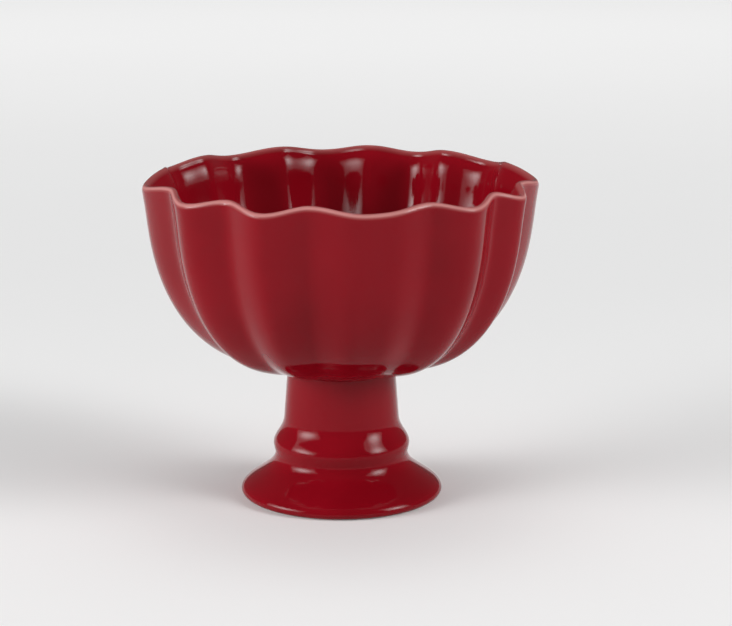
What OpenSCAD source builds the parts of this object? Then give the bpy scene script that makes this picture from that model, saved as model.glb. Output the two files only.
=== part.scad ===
// Footed compote bowl: a fluted bowl with a waved lip, luted to a hollow turned pedestal.
// Millimetres, +Z up. The table is z = 0 and the axis of the pedestal is the Z axis.

/* [Bowl] */
// Diameter across the lobes at the rim
rim_d = 149.6; // [130:0.1:175]
// Mean height of the lip above the table
rim_h = 122.8; // [105:0.1:140]
// Rise of the lip from the middle of a lobe to a groove
lip_wave = 2.6; // [0.5:0.1:5]
// How far the lip flares out past the curve of the wall
lip_flare = 1.4; // [0:0.1:4]
// Number of lobes round the bowl
lobes = 12; // [8:1:16]
// Depth of the grooves between the lobes, at the rim
flute_depth = 4.9; // [2:0.1:8]
// Thickness of the wall and of the round lip
wall = 4.2; // [3:0.1:6]
// Thickness of the floor over the seat
floor_t = 5; // [3.5:0.1:8]

/* [Joint] */
// Thickness of the slip bed between the stem and the bowl
slip_t = 0.8; // [0.4:0.1:2]
// Width and height of the slip cove wiped round the joint
slip_cove = 1.6; // [0.8:0.1:3]

/* [Pedestal] */
// Height of the pedestal up to its joint face
pedestal_h = 50.3; // [44:0.1:60]
// Diameter of the stem at the joint
stem_top_d = 40.9; // [36:0.1:46]
// Diameter of the stem at its lower end
stem_low_d = 43.8; // [38:0.1:48]
// Thickness of the stem's wall at the joint
stem_wall = 4.9; // [3.5:0.1:7]
// Diameter of the bead
bead_d = 52.1; // [49:0.1:58]
// Height of the bead's widest line above the table
bead_h = 20.1; // [17:0.1:24]
// Height of the cove that sweeps from the bead up to the stem
cove_h = 10.9; // [8:0.1:15]
// Depth of the neck under the bead, measured from the bead
neck_depth = 0.7; // [0.4:0.1:2]
// Drop from the bead's widest line to the neck
neck_drop = 4; // [2.5:0.1:6]

/* [Foot] */
// Diameter of the foot at its widest line
foot_d = 77.1; // [66:0.1:90]
// Height of that widest line above the table
foot_edge_h = 2.1; // [1.5:0.1:5]
// Rounding of the edge inwards to the standing ring
foot_edge_w = 2; // [1.5:0.1:5]
// Width of the flat standing ring
ring_w = 3.6; // [2.5:0.1:6]
// Height at which the hollow narrows to the bore of the stem
hollow_h = 18; // [12:0.5:24]

/* [Hidden] */
$fn = 96;

glaze_red = [0.55, 0.11, 0.15];
slip_red = [0.48, 0.08, 0.12];

// The first lobe's angle from the X axis
lobe_turn = 6.4;
// How narrow the grooves are beside the lobes, and how soon they fade towards the seat
groove_power_share = 1.7;
groove_fade_share = 0.6;
// How full the wall's curve is: 1 is a quarter ellipse, and less is fuller
fullness_share = 0.887;
// How close to the lip the flare starts: more is closer
flare_power_share = 5;
// Steps round one lobe, up a wall, over the lip and along a curve
lobe_steps = 10;
wall_steps = 11;
lip_steps = 5;
curve_steps = 10;

// Handles of the pedestal's curves, as shares of each curve's drop
cove_shares = [0.5, 0.28];
bead_shares = [0.36, 0.24];
flare_shares = [0.44, 0.26];
hollow_shares = [0.3, 0.55];
// How far the slip cove is hollowed, from a straight bevel to a sharp corner
slip_hollow_share = 0.55;

// The flat seat reaches past the slip cove by this much
seat_margin = 0.2;

stem_top_r = stem_top_d / 2;
stem_low_r = stem_low_d / 2;
stem_low_h = bead_h + cove_h;
bore_r = stem_top_r - stem_wall;
bead_r = bead_d / 2;
neck_r = bead_r - neck_depth;
neck_h = bead_h - neck_drop;
foot_r = foot_d / 2;
ring_r = foot_r - foot_edge_w;
hollow_r = ring_r - ring_w;

seat_h = pedestal_h + slip_t;
seat_r = stem_top_r + slip_cove + seat_margin;
floor_h = seat_h + floor_t;
rim_r = rim_d / 2;
lip_r = wall / 2;
round_steps = lobes * lobe_steps;

// 0 along the middle of a lobe, 1 along a groove
function wave(a) = (1 - cos(lobes * (a - lobe_turn))) / 2;
function groove(a) = pow(wave(a), groove_power_share);

// The lip rides high over the grooves and low over the lobes
function lip_h(a) = rim_h + lip_wave * (wave(a) - 1 / 2);

// A point of a wall: a full quarter curve from its flat base (t = 0) up to the lip (t = 1)
function wall_point(a, t, base_r, base_h, top_r) =
    let (
        swell = pow(sin(90 * t), fullness_share),
        climb = 1 - pow(cos(90 * t), fullness_share),
        flute = flute_depth * groove(a) * pow(swell, groove_fade_share),
        flare = lip_flare * pow(climb, flare_power_share),
        r = base_r + (top_r - lip_flare - base_r) * swell + flare - flute
    )
    [r * cos(a), r * sin(a), base_h + (lip_h(a) - lip_r - base_h) * climb];

// A point of the half-round lip: t = 0 on the outer wall, t = 1 on the inner wall
function lip_point(a, t) =
    let (r = rim_r - lip_r - flute_depth * groove(a) + lip_r * cos(180 * t))
    [r * cos(a), r * sin(a), lip_h(a) - lip_r + lip_r * sin(180 * t)];

function round_angle(i) = 360 * i / round_steps;

// Points after p, up to q, on a curve whose handles stand upright at both ends
function upright_curve(p, q, shares) =
    let (
        drop = q[1] - p[1],
        p_handle = [p[0], p[1] + drop * shares[0]],
        q_handle = [q[0], q[1] - drop * shares[1]]
    )
    [for (i = [1 : curve_steps])
        let (t = i / curve_steps, s = 1 - t)
        s * s * s * p + 3 * s * s * t * p_handle + 3 * s * t * t * q_handle + t * t * t * q];

// Radius of the straight stem at a height
function stem_r(h) =
    stem_top_r + (stem_low_r - stem_top_r) * (pedestal_h - h) / (pedestal_h - stem_low_h);

// Fluted bowl, lofted ring by ring: up the outside, over the lip, down the inside
module bowl() {
    outer_rings = [for (j = [0 : wall_steps]) [for (i = [0 : round_steps - 1])
        wall_point(round_angle(i), j / wall_steps, seat_r, seat_h, rim_r)]];
    lip_rings = [for (j = [1 : lip_steps]) [for (i = [0 : round_steps - 1])
        lip_point(round_angle(i), j / (lip_steps + 1))]];
    inner_rings = [for (j = [wall_steps : -1 : 0]) [for (i = [0 : round_steps - 1])
        wall_point(round_angle(i), j / wall_steps, seat_r, floor_h, rim_r - wall)]];
    rings = concat(outer_rings, lip_rings, inner_rings);
    top = len(rings) - 1;
    seat_face = [for (i = [0 : round_steps - 1]) i];
    floor_face = [for (i = [round_steps - 1 : -1 : 0]) top * round_steps + i];
    wall_faces = [for (j = [0 : top - 1], i = [0 : round_steps - 1])
        let (
            k = (i + 1) % round_steps,
            low = j * round_steps,
            high = low + round_steps
        )
        each [[low + i, high + i, high + k], [low + i, high + k, low + k]]];
    color(glaze_red)
        polyhedron(
            points = [for (ring = rings) each ring],
            faces = concat([seat_face, floor_face], wall_faces),
            convexity = 8
        );
}

// Slip bed on the stem's joint face, with the cove wiped round the outside
module luting_slip() {
    cove_low = [stem_r(pedestal_h - slip_cove), pedestal_h - slip_cove];
    cove_high = [stem_top_r + slip_cove, seat_h];
    corner = [stem_top_r, seat_h];
    bevel = (cove_low + cove_high) / 2;
    dip = bevel + (corner - bevel) * slip_hollow_share;
    cove = [for (i = [0 : curve_steps])
        let (t = i / curve_steps, s = 1 - t)
        s * s * cove_low + 2 * s * t * dip + t * t * cove_high];
    color(slip_red)
        rotate_extrude()
            polygon(concat([[bore_r, pedestal_h], [stem_top_r, pedestal_h]], cove, [[bore_r, seat_h]]));
}

// Hollow turned pedestal: stem, bead, neck, flared foot and standing ring
module pedestal() {
    stem_low = [stem_low_r, stem_low_h];
    bead = [bead_r, bead_h];
    neck = [neck_r, neck_h];
    foot = [foot_r, foot_edge_h];
    mouth = [hollow_r, 0];
    edge = [for (i = [1 : curve_steps])
        let (a = 90 * i / curve_steps)
        [ring_r + foot_edge_w * cos(a), foot_edge_h * (1 - sin(a))]];
    outside = concat(
        [[bore_r, pedestal_h], [stem_top_r, pedestal_h], stem_low],
        upright_curve(stem_low, bead, cove_shares),
        upright_curve(bead, neck, bead_shares),
        upright_curve(neck, foot, flare_shares),
        edge
    );
    inside = concat([mouth], upright_curve(mouth, [bore_r, hollow_h], hollow_shares));
    color(glaze_red)
        rotate_extrude()
            polygon(concat(outside, inside));
}

bowl();
luting_slip();
pedestal();
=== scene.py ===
import bpy
import bmesh
import math
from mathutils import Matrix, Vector


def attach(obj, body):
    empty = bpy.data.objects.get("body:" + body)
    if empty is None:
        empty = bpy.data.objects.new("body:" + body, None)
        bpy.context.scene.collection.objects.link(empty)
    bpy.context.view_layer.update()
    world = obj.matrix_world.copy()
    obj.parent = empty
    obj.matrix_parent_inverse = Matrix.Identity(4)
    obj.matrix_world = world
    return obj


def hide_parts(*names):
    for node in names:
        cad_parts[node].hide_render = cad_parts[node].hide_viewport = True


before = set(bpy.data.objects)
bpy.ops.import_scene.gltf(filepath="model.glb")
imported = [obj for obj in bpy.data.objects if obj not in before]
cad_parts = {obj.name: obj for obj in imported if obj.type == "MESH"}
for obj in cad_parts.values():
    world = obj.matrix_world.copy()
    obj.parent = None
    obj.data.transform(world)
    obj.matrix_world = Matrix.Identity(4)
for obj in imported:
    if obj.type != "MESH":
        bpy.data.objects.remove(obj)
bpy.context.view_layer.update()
mm = 0.001
scene = bpy.context.scene
scene.view_settings.view_transform = "Standard"
print("frame loaded")


# camera: a long lens a little above the rim
view = {
    "rimCentre": (0.0, 0.0, 0.1228),
    "distance": 0.900,
    "lookDown": 9.73,  # degrees, seen from the rim's centre
    "lens": 117.92,
    "rimPixel": (340.6, 176.4),  # where the rim's centre lands in the frame
    "frameSize": (732, 626),
}


def placeCamera():
    target = Vector(view["rimCentre"])
    tilt = math.radians(view["lookDown"])
    data = bpy.data.cameras.new("camera")
    data.lens = view["lens"]
    data.sensor_width = 36.0
    data.clip_start = 0.05
    camera = bpy.data.objects.new("camera", data)
    scene.collection.objects.link(camera)
    camera.location = target + view["distance"] * Vector((0, -math.cos(tilt), math.sin(tilt)))
    pixels = view["lens"] / data.sensor_width * view["frameSize"][0]
    across = math.atan((view["frameSize"][0] / 2 - view["rimPixel"][0]) / pixels)
    down = math.atan((view["frameSize"][1] / 2 - view["rimPixel"][1]) / pixels)
    camera.rotation_euler = (math.pi / 2 - tilt - down, 0, -across)
    scene.camera = camera


placeCamera()
print("camera placed")


def tree(name):
    material = bpy.data.materials.new(name)
    material.use_nodes = True
    nodes = material.node_tree.nodes
    return material, nodes, material.node_tree.links, nodes["Principled BSDF"]


def noise(nodes, links, where, scale, detail, rough=0.5):
    node = nodes.new("ShaderNodeTexNoise")
    node.inputs["Scale"].default_value = scale
    node.inputs["Detail"].default_value = detail
    node.inputs["Roughness"].default_value = rough
    links.new(where, node.inputs["Vector"])
    return node.outputs["Fac"]


def spread(nodes, links, source, low, high, toLow, toHigh):
    node = nodes.new("ShaderNodeMapRange")
    node.interpolation_type = "SMOOTHSTEP"
    for name, value in (("From Min", low), ("From Max", high), ("To Min", toLow), ("To Max", toHigh)):
        node.inputs[name].default_value = value
    links.new(source, node.inputs["Value"])
    return node.outputs["Result"]


def bump(nodes, links, height, relief):
    node = nodes.new("ShaderNodeBump")
    node.inputs["Strength"].default_value = relief["strength"]
    node.inputs["Distance"].default_value = relief["distance"]
    links.new(height, node.inputs["Height"])
    return node


def blendColour(nodes, links, share, first, second):
    node = nodes.new("ShaderNodeMix")
    node.data_type = "RGBA"
    links.new(share, node.inputs["Factor"])
    for socket, value in ((node.inputs[6], first), (node.inputs[7], second)):
        if hasattr(value, "links"):
            links.new(value, socket)
        else:
            socket.default_value = (*value, 1)
    return node.outputs[2]


# red glaze: deep where it pools, paler and warmer where it runs thin on the lip, where a painted highlight
# line is laid as well
redGlaze = {
    "body": (0.228, 0.0028, 0.0085),
    "deep": (0.198, 0.0020, 0.0066),
    # pale colour of the thin glaze on the lip and of the painted highlight line there
    "thinAndHighlight": (0.680, 0.3300, 0.3100),
    "ior": 1.24,
    "roughness": (0.045, 0.085),
    "clouds": {"scale": 24, "detail": 3, "from": 0.35, "to": 0.7},
    "specks": {"scale": 900, "detail": 2, "from": 0.62, "to": 0.8, "share": 0.35},
    "haze": {"scale": 60, "detail": 4, "from": 0.3, "to": 0.7},
    "swell": {"scale": 55, "detail": 1, "strength": 0.05, "distance": 0.0009},  # slow waves in the fired coat
    "peel": {"scale": 420, "detail": 2, "strength": 0.05, "distance": 0.0003},  # faint orange peel
}


def makeGlaze(name, thinAndHighlightAttribute):
    material, nodes, links, shader = tree(name)
    where = nodes.new("ShaderNodeTexCoord").outputs["Object"]
    clouds, specks, haze = redGlaze["clouds"], redGlaze["specks"], redGlaze["haze"]
    pooled = noise(nodes, links, where, clouds["scale"], clouds["detail"])
    colour = blendColour(nodes, links, spread(nodes, links, pooled, clouds["from"], clouds["to"], 0, 1),
                         redGlaze["body"], redGlaze["deep"])
    dots = noise(nodes, links, where, specks["scale"], specks["detail"])
    colour = blendColour(nodes, links,
                         spread(nodes, links, dots, specks["from"], specks["to"], 0, specks["share"]),
                         colour, redGlaze["deep"])
    if thinAndHighlightAttribute:
        # blends in the thin lip glaze and the painted highlight line along the lip
        thinAndHighlight = nodes.new("ShaderNodeAttribute")
        thinAndHighlight.attribute_name = thinAndHighlightAttribute
        colour = blendColour(nodes, links, thinAndHighlight.outputs["Fac"], colour, redGlaze["thinAndHighlight"])
    links.new(colour, shader.inputs["Base Color"])
    low, high = redGlaze["roughness"]
    dulled = noise(nodes, links, where, haze["scale"], haze["detail"])
    links.new(spread(nodes, links, dulled, haze["from"], haze["to"], low, high), shader.inputs["Roughness"])
    shader.inputs["IOR"].default_value = redGlaze["ior"]
    swell, peel = (bump(nodes, links, noise(nodes, links, where, relief["scale"], relief["detail"]), relief)
                   for relief in (redGlaze["swell"], redGlaze["peel"]))
    links.new(swell.outputs["Normal"], peel.inputs["Normal"])
    links.new(peel.outputs["Normal"], shader.inputs["Normal"])
    return material


# bare fired clay on the standing ring
bareClay = {
    "body": (0.62, 0.52, 0.43),
    "dark": (0.45, 0.35, 0.27),
    "roughness": 0.85,
    "grit": {"scale": 1400, "detail": 4, "rough": 0.7, "from": 0.45, "to": 0.75,
             "strength": 0.3, "distance": 0.0002},
}


def makeClay():
    material, nodes, links, shader = tree("bareClay")
    where = nodes.new("ShaderNodeTexCoord").outputs["Object"]
    grit = bareClay["grit"]
    grains = noise(nodes, links, where, grit["scale"], grit["detail"], grit["rough"])
    links.new(blendColour(nodes, links, spread(nodes, links, grains, grit["from"], grit["to"], 0, 1),
                          bareClay["body"], bareClay["dark"]), shader.inputs["Base Color"])
    shader.inputs["Roughness"].default_value = bareClay["roughness"]
    links.new(bump(nodes, links, grains, grit).outputs["Normal"], shader.inputs["Normal"])
    return material


glazeOnBowl = makeGlaze("glazeOnBowl", "thinGlazeAndHighlight")
glazeOnPedestal = makeGlaze("glazeOnPedestal", None)
glazeOnJoint = makeGlaze("glazeOnJoint", None)
clay = makeClay()
print("glazes mixed")


def finishPiece(bm, name, node, materials, levels):
    bmesh.ops.scale(bm, vec=(mm, mm, mm), verts=bm.verts[:])
    mesh = bpy.data.meshes.new(name)
    bm.to_mesh(mesh)
    bm.free()
    for polygon in mesh.polygons:
        polygon.use_smooth = True
    for material in materials:
        mesh.materials.append(material)
    piece = bpy.data.objects.new(name, mesh)
    scene.collection.objects.link(piece)
    if levels:
        smooth = piece.modifiers.new("smooth", "SUBSURF")
        smooth.levels = smooth.render_levels = levels
    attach(piece, "root")
    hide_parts(node)


def turn(bm, steps):
    bmesh.ops.spin(bm, geom=bm.verts[:] + bm.edges[:], cent=(0, 0, 0), axis=(0, 0, 1),
                   angle=2 * math.pi, steps=steps, use_merge=True)
    bmesh.ops.remove_doubles(bm, verts=bm.verts[:], dist=0.001)
    bmesh.ops.recalc_face_normals(bm, faces=bm.faces[:])


# fluted bowl, in millimetres as the part has it
bowl = {
    "rimRadius": 74.55,
    "rimHeight": 122.75,
    "lipWave": 2.6,
    "lobes": 12,
    "lobeTurn": 6.4,
    # degrees that each groove lies beside its even place, pressed by hand
    "grooveDrift": (-1.1, 0.9, -1.4, -0.7, 0.9, -2.5, 5.1, 3.0, -0.6, 5.4, 1.7, -8.0),
    "fluteDepth": 4.9,
    "groovePower": 1.15,
    "crease": 0.82,  # 1 is a sharp pleat
    "grooveFade": 0.6,
    # one shallow flute more, in the widest lobe
    "dent": {"turn": -80.2, "depth": 2.2, "reach": 5.2, "lift": 0.2},
    # the glaze breaks paler in a line along the lip's outer edge, and a painted highlight is laid along the
    # same line
    "thinLipAndHighlight": {"broad": 0.22, "line": 0.58, "lean": 42, "power": 18, "below": 0.7},
    "fullness": {"outer": 0.887, "inner": 1.06},
    "flare": {"outer": (1.4, 10), "inner": (2.6, 30)},  # how far the lip opens, and how close to its edge
    "wall": 4.2,
    "seatRadius": 22.25,
    "seatHeight": 51.1,
    "floorHeight": 56.1,
    "wallSteps": 26,
    "lipSteps": 10,
    "lobeSteps": 20,
    "discShares": (0.75, 0.4, 0),  # rings of the flat disc inside the wall's foot
}


def placeOnLobe(angle):
    # where a column of the mesh goes, and its wave: 0 along the middle of a lobe, 1 along a groove
    pitch = 360 / bowl["lobes"]
    groove, share = divmod(angle / pitch - 0.5, 1)
    drift = bowl["grooveDrift"]
    low, high = (drift[int(groove + k) % bowl["lobes"]] for k in (0, 1))
    return angle + bowl["lobeTurn"] + low + share * (high - low), (1 + math.cos(2 * math.pi * share)) / 2


def makeBowl():
    bm = bmesh.new()
    swell = bm.verts.layers.float.new("swell")
    climb = bm.verts.layers.float.new("climb")
    inside = bm.verts.layers.float.new("inside")  # 0 on the outer wall, 1 on the inner wall
    thinAndHighlight = bm.verts.layers.float.new("thinGlazeAndHighlight")
    lipRadius = bowl["wall"] / 2
    topHeight = bowl["rimHeight"] - lipRadius
    outerFlare, outerPower = bowl["flare"]["outer"]
    innerFlare, innerPower = bowl["flare"]["inner"]
    dent = bowl["dent"]

    def fullWall(side, baseHeight, topRadius):
        start = bm.verts.new((0, 0, -1))
        arc = bmesh.ops.spin(bm, geom=[start], cent=(0, 0, 0), axis=(0, -1, 0),
                             angle=math.pi / 2, steps=bowl["wallSteps"])
        top = arc["geom_last"][0]
        wall = [v for v in bm.verts if v.co.length < 1.01]
        for v in wall:  # less than 1 is fuller than an ellipse
            v[swell] = max(v.co.x, 0) ** bowl["fullness"][side]
            v[climb] = 1 - max(-v.co.z, 0) ** bowl["fullness"][side]
            v[inside] = side == "inner"
            v.co = (v[swell], 0, v[climb])
        bmesh.ops.scale(bm, vec=(topRadius - outerFlare - bowl["seatRadius"], 1, topHeight - baseHeight),
                        verts=wall)
        bmesh.ops.translate(bm, vec=(bowl["seatRadius"], 0, baseHeight), verts=wall)
        ring = start
        for share in bowl["discShares"]:
            ring = bmesh.ops.extrude_vert_indiv(bm, verts=[ring])["verts"][0]
            ring.co.x = bowl["seatRadius"] * share
        return top

    outerTop = fullWall("outer", bowl["seatHeight"], bowl["rimRadius"])
    fullWall("inner", bowl["floorHeight"], bowl["rimRadius"] - bowl["wall"])
    lipCentre = Vector((bowl["rimRadius"] - outerFlare - lipRadius, 0, topHeight))
    bmesh.ops.spin(bm, geom=[outerTop], cent=lipCentre, axis=(0, -1, 0), angle=math.pi,
                   steps=bowl["lipSteps"])
    thinLipAndHighlight = bowl["thinLipAndHighlight"]
    bmesh.ops.bisect_plane(bm, geom=bm.verts[:] + bm.edges[:], dist=0.001, plane_no=(0, 0, 1),
                           plane_co=(0, 0, topHeight - thinLipAndHighlight["below"]))
    lean = math.radians(thinLipAndHighlight["lean"])
    for v in bm.verts:
        out, up = (v.co.x - lipCentre.x) / lipRadius, (v.co.z - topHeight) / lipRadius
        if up > -0.001:  # on the lip
            # painted highlight line on the lip's outer upper side, where the glaze also runs thin; the broad
            # share is thin glaze on the lip's top
            line = max(0, out * math.cos(lean) + up * math.sin(lean)) ** thinLipAndHighlight["power"]
            v[thinAndHighlight] = thinLipAndHighlight["broad"] * max(0, up) + thinLipAndHighlight["line"] * line
            v[inside] = (1 - out) / 2
    bmesh.ops.remove_doubles(bm, verts=bm.verts[:], dist=0.01)
    turn(bm, bowl["lobes"] * bowl["lobeSteps"])

    # press the flutes in, flare the lip and wave it
    for v in bm.verts:
        radius = math.hypot(v.co.x, v.co.y)
        if radius < 0.001:
            continue
        placed, wave = placeOnLobe(math.degrees(math.atan2(v.co.y, v.co.x)))
        pleat = 0.5 + math.asin(bowl["crease"] * (2 * wave - 1)) / (2 * math.asin(bowl["crease"]))
        aside = (placed - dent["turn"] + 180) % 360 - 180
        pressed = math.exp(-(aside / dent["reach"]) ** 2)
        flute = bowl["fluteDepth"] * pleat ** bowl["groovePower"] + dent["depth"] * pressed
        moved = radius - flute * v[swell] ** bowl["grooveFade"] \
            + (1 - v[inside]) * outerFlare * v[climb] ** outerPower \
            + v[inside] * innerFlare * v[climb] ** innerPower
        v.co.x = moved * math.cos(math.radians(placed))
        v.co.y = moved * math.sin(math.radians(placed))
        v.co.z += (bowl["lipWave"] * (wave - 0.5) + dent["lift"] * pressed) * v[climb]
    finishPiece(bm, "flutedBowl", "bowl", [glazeOnBowl], 1)


makeBowl()
print("bowl fluted")


# turned pedestal: heights and radii in millimetres
pedestal = {
    "top": 50.3,
    "stemTop": 20.45,
    "stemLow": (21.9, 31.0),
    "bead": (26.05, 20.1),
    "neck": (25.35, 16.1),
    "foot": (38.55, 2.1),
    "ring": (36.55, 32.95),
    "bore": (15.55, 18.0),
    # handles of the curves, as shares of each one's drop
    "shares": {"cove": (0.50, 0.28), "bead": (0.36, 0.24), "flare": (0.44, 0.26), "hollow": (0.30, 0.55)},
    "chamfer": 0.3,  # at the stem's top edge
    "bareBelow": 0.05,  # faces under this height are wiped clean of glaze
    "stemSteps": 6,
    "curveSteps": 12,
    "edgeSteps": 8,
    "boreSteps": 4,
    "steps": 128,
}


def makePedestal():
    bm = bmesh.new()

    def pull(v, radius, height):
        out = bmesh.ops.extrude_vert_indiv(bm, verts=[v])
        out["verts"][0].co = (radius, 0, height)
        return out["verts"][0]

    def sweep(v, goal, shares):
        # a curve that leaves and arrives upright
        r0, h0, (r1, h1) = v.co.x, v.co.z, goal
        drop = h1 - h0
        for i in range(1, pedestal["curveSteps"] + 1):
            t = i / pedestal["curveSteps"]
            s = 1 - t
            radius = r0 * (s ** 3 + 3 * s * s * t) + r1 * (3 * s * t * t + t ** 3)
            height = h0 * s ** 3 + 3 * s * s * t * (h0 + drop * shares[0]) \
                + 3 * s * t * t * (h1 - drop * shares[1]) + h1 * t ** 3
            v = pull(v, radius, height)
        return v

    shares = pedestal["shares"]
    top, chamfer = pedestal["top"], pedestal["chamfer"]
    boreRadius, boreHeight = pedestal["bore"]
    v = bm.verts.new((boreRadius, 0, top))
    v = pull(v, pedestal["stemTop"] - chamfer, top)
    v = pull(v, pedestal["stemTop"], top - chamfer)
    low = Vector((pedestal["stemLow"][0], 0, pedestal["stemLow"][1]))
    high = v.co.copy()
    for i in range(1, pedestal["stemSteps"] + 1):
        point = high.lerp(low, i / pedestal["stemSteps"])
        v = pull(v, point.x, point.z)
    v = sweep(v, pedestal["bead"], shares["cove"])
    v = sweep(v, pedestal["neck"], shares["bead"])
    v = sweep(v, pedestal["foot"], shares["flare"])
    footRadius, footHeight = pedestal["foot"]
    ringOut, ringIn = pedestal["ring"]
    for i in range(1, pedestal["edgeSteps"] + 1):
        a = math.pi / 2 * i / pedestal["edgeSteps"]
        v = pull(v, ringOut + (footRadius - ringOut) * math.cos(a), footHeight * (1 - math.sin(a)))
    v = pull(v, (ringOut + ringIn) / 2, 0)
    v = pull(v, ringIn, 0)
    v = sweep(v, pedestal["bore"], shares["hollow"])
    for i in range(1, pedestal["boreSteps"] + 1):
        v = pull(v, boreRadius, boreHeight + (top - boreHeight) * i / pedestal["boreSteps"])
    bmesh.ops.remove_doubles(bm, verts=bm.verts[:], dist=0.001)
    turn(bm, pedestal["steps"])
    for face in bm.faces:
        if face.calc_center_median().z < pedestal["bareBelow"]:
            face.material_index = 1
    finishPiece(bm, "turnedPedestal", "pedestal", [glazeOnPedestal, clay], 1)


makePedestal()
print("pedestal turned")


# slip wiped round the joint
joint = {
    "bore": 15.55,
    "stem": 20.45,
    "taper": 0.11,  # the stem is this much wider at the cove's foot
    "low": 48.7,
    "bed": 50.3,
    "top": 51.1,
    "cove": 1.6,
    "hollow": 0.55,
    "coveSteps": 6,
    "steps": 128,
}


def makeJoint():
    bm = bmesh.new()
    low = Vector((joint["stem"] + joint["taper"], 0, joint["low"]))
    high = Vector((joint["stem"] + joint["cove"], 0, joint["top"]))
    bevel = (low + high) / 2
    dip = bevel.lerp(Vector((joint["stem"], 0, joint["top"])), joint["hollow"])
    points = [Vector((joint["bore"], 0, joint["bed"])), Vector((joint["stem"], 0, joint["bed"]))]
    for i in range(joint["coveSteps"] + 1):
        t = i / joint["coveSteps"]
        points.append(low * (1 - t) ** 2 + dip * 2 * t * (1 - t) + high * t * t)
    points.append(Vector((joint["bore"], 0, joint["top"])))
    ring = [bm.verts.new(point) for point in points]
    for a, b in zip(ring, ring[1:] + ring[:1]):
        bm.edges.new((a, b))
    turn(bm, joint["steps"])
    finishPiece(bm, "slipJoint", "luting_slip", [glazeOnJoint], 0)


makeJoint()
print("joint wiped")


# plain pale floor, wide enough for every view
floor = {
    "reach": 4.0,
    "pale": (0.80, 0.80, 0.80),
    "dull": (0.77, 0.77, 0.77),
    "mottle": {"scale": 3, "detail": 2},
    "roughness": 0.9,
    "gloss": 0.1,
    "drop": 0.0002,
    "lift": {"near": 0.08, "far": 0.45, "from": 0.2, "to": 1.9},  # metres behind the object
}


def makeFloor():
    bm = bmesh.new()
    bmesh.ops.create_grid(bm, x_segments=1, y_segments=1, size=floor["reach"])
    bmesh.ops.translate(bm, vec=(0, 0, -floor["drop"]), verts=bm.verts[:])
    mesh = bpy.data.meshes.new("floor")
    bm.to_mesh(mesh)
    bm.free()
    ground = bpy.data.objects.new("floor", mesh)
    scene.collection.objects.link(ground)
    material, nodes, links, shader = tree("palePaper")
    where = nodes.new("ShaderNodeTexCoord").outputs["Object"]
    mottle = noise(nodes, links, where, floor["mottle"]["scale"], floor["mottle"]["detail"])
    links.new(blendColour(nodes, links, mottle, floor["pale"], floor["dull"]), shader.inputs["Base Color"])
    shader.inputs["Roughness"].default_value = floor["roughness"]
    shader.inputs["Specular IOR Level"].default_value = floor["gloss"]
    # paler to the eye and in the glaze, more so far behind, with the shadow kept
    path = nodes.new("ShaderNodeLightPath")
    seen = path.outputs["Is Camera Ray"]
    for ray in ("Is Glossy Ray", "Is Transmission Ray"):
        either = nodes.new("ShaderNodeMath")
        either.operation = "MAXIMUM"
        links.new(seen, either.inputs[0])
        links.new(path.outputs[ray], either.inputs[1])
        seen = either.outputs["Value"]
    behind = nodes.new("ShaderNodeSeparateXYZ")
    links.new(where, behind.inputs["Vector"])
    lift = floor["lift"]
    paler = nodes.new("ShaderNodeMath")
    paler.operation = "MULTIPLY"
    links.new(seen, paler.inputs[0])
    more = spread(nodes, links, behind.outputs["Y"], lift["from"], lift["to"], lift["near"], lift["far"])
    links.new(more, paler.inputs[1])
    links.new(paler.outputs["Value"], shader.inputs["Emission Strength"])
    shader.inputs["Emission Color"].default_value = (1, 1, 1, 1)
    mesh.materials.append(material)


makeFloor()


# a softbox on each side of the camera and a wide one overhead, a little behind, each hot in the middle
studio = {
    "aim": (0, 0, 0.07),
    "left": {"turn": -70, "lift": 17, "distance": 2.6, "size": (2.3, 1.4),
             "watts": 196, "edge": 0.11, "core": 0.52},
    "right": {"turn": 68, "lift": 26, "distance": 2.6, "size": (1.5, 1.7),
              "watts": 150, "edge": 0.11, "core": 0.52},
    "top": {"turn": 180, "lift": 80, "distance": 2.8, "size": (3.4, 3.4),
            "watts": 100, "edge": 0.2, "core": 0.32},
    "room": 0.12,
}


def softbox(name):
    box = studio[name]
    data = bpy.data.lights.new(name + "Softbox", "AREA")
    data.shape = "RECTANGLE"
    data.size, data.size_y = box["size"]
    data.energy = box["watts"]
    data.use_nodes = True
    nodes, links = data.node_tree.nodes, data.node_tree.links
    across = nodes.new("ShaderNodeNewGeometry")
    middle = nodes.new("ShaderNodeVectorMath")
    middle.operation = "DISTANCE"
    middle.inputs[1].default_value = (0.5, 0.5, 0)
    links.new(across.outputs["Parametric"], middle.inputs[0])
    strength = spread(nodes, links, middle.outputs["Value"], 0, box["core"], 1, box["edge"])
    links.new(strength, nodes["Emission"].inputs["Strength"])
    lamp = bpy.data.objects.new(name + "Softbox", data)
    lamp.visible_camera = False
    scene.collection.objects.link(lamp)
    turned, lifted = math.radians(box["turn"]), math.radians(box["lift"])
    level = math.cos(lifted)
    away = Vector((math.sin(turned) * level, -math.cos(turned) * level, math.sin(lifted)))
    lamp.location = Vector(studio["aim"]) + box["distance"] * away
    lamp.rotation_euler = away.to_track_quat("Z", "Y").to_euler()


def lightStudio():
    for name in ("left", "right", "top"):
        softbox(name)
    world = bpy.data.worlds.new("dimRoom")
    scene.world = world
    world.use_nodes = True
    dim = world.node_tree.nodes["Background"]
    dim.inputs["Color"].default_value = (1, 1, 1, 1)
    dim.inputs["Strength"].default_value = studio["room"]


lightStudio()
print("studio lit")
